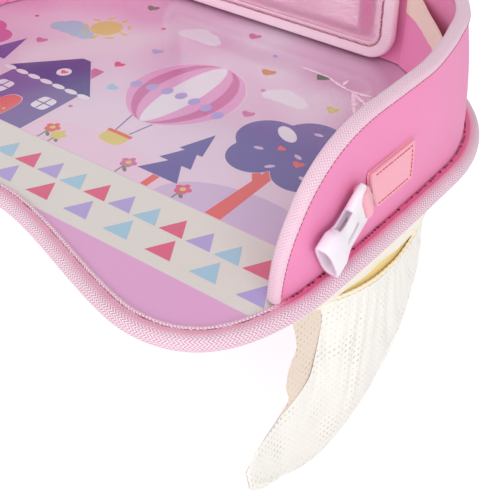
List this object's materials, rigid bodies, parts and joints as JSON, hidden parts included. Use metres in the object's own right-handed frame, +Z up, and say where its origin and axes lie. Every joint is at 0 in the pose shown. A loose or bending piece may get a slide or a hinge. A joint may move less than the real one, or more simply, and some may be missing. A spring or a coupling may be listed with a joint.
{
  "type": "car seat tray table",
  "caption": "Sewn lap tray for a child's car seat, with a belly cut-out, soft walls, a flap phone holder, corner and mesh side pockets, and buckles for a waist belt.",
  "frame": {"origin": "middle of the tray's flat underside", "axes": "+X to the seated child's right, +Y away from the child, +Z up"},
  "size_m": [0.4092, 0.32, 0.2321],
  "materials": {
    "cover": "matt woven polyester",
    "board": "matt",
    "print": "smooth printed polyester",
    "film": "clear and glossy",
    "skin": "matt woven polyester",
    "foam": "matt foam",
    "tape": "ribbed woven tape",
    "webbing": "woven webbing",
    "buckle": "satin",
    "mesh": "open mesh",
    "hem": "matt",
    "elastic": "woven elastic",
    "band": "woven elastic"
  },
  "bodies": {
    "tray": {"bottom_cover": "cover", "base_board": "board", "top_print": "print", "clear_film": "film", "edge_binding": "tape", "wall_outer_skin": "skin", "wall_core": "foam", "wall_inner_skin": "skin", "wall_top_binding": "tape", "right_strap_tab": "webbing", "left_strap_tab": "webbing", "right_pocket_hem": "hem", "left_pocket_hem": "hem", "holder_hinge_tape": "tape", "right_corner_pocket": "skin", "left_corner_pocket": "skin", "right_corner_band": "band", "left_corner_band": "band"},
    "right_buckle": {"right_buckle": "buckle"},
    "left_buckle": {"left_buckle": "buckle"},
    "right_bag": {"right_mesh_pocket": "mesh", "right_pocket_elastic": "elastic"},
    "left_bag": {"left_mesh_pocket": "mesh", "left_pocket_elastic": "elastic"},
    "phone_holder": {"holder_back": "skin", "holder_core": "board", "holder_front": "skin", "holder_window": "film", "holder_binding": "tape"}
  },
  "joints": [
    {"name": "right_buckle_swing", "type": "hinge", "parent": "tray", "child": "right_buckle", "pos_m": [0.1952, -0.05289, 0.043], "axis": [0.1219, -0.5186, 0.8463], "range_deg": [0, 100]},
    {"name": "left_buckle_swing", "type": "hinge", "parent": "tray", "child": "left_buckle", "pos_m": [-0.1952, -0.05289, 0.043], "axis": [0.1219, 0.5186, -0.8463], "range_deg": [0, 100]},
    {"name": "right_bag_swing", "type": "hinge", "parent": "tray", "child": "right_bag", "pos_m": [0.18692, -0.043, -0.0015], "axis": [0.0494, 0.9988, 0], "range_deg": [0, 60]},
    {"name": "left_bag_swing", "type": "hinge", "parent": "tray", "child": "left_bag", "pos_m": [-0.18692, -0.043, -0.0015], "axis": [0.0494, -0.9988, 0], "range_deg": [0, 60]},
    {"name": "phone_holder_swing", "type": "hinge", "parent": "tray", "child": "phone_holder", "pos_m": [0, 0.14015, 0.0866], "axis": [-1, 0, 0], "range_deg": [0, 75]}
  ]
}
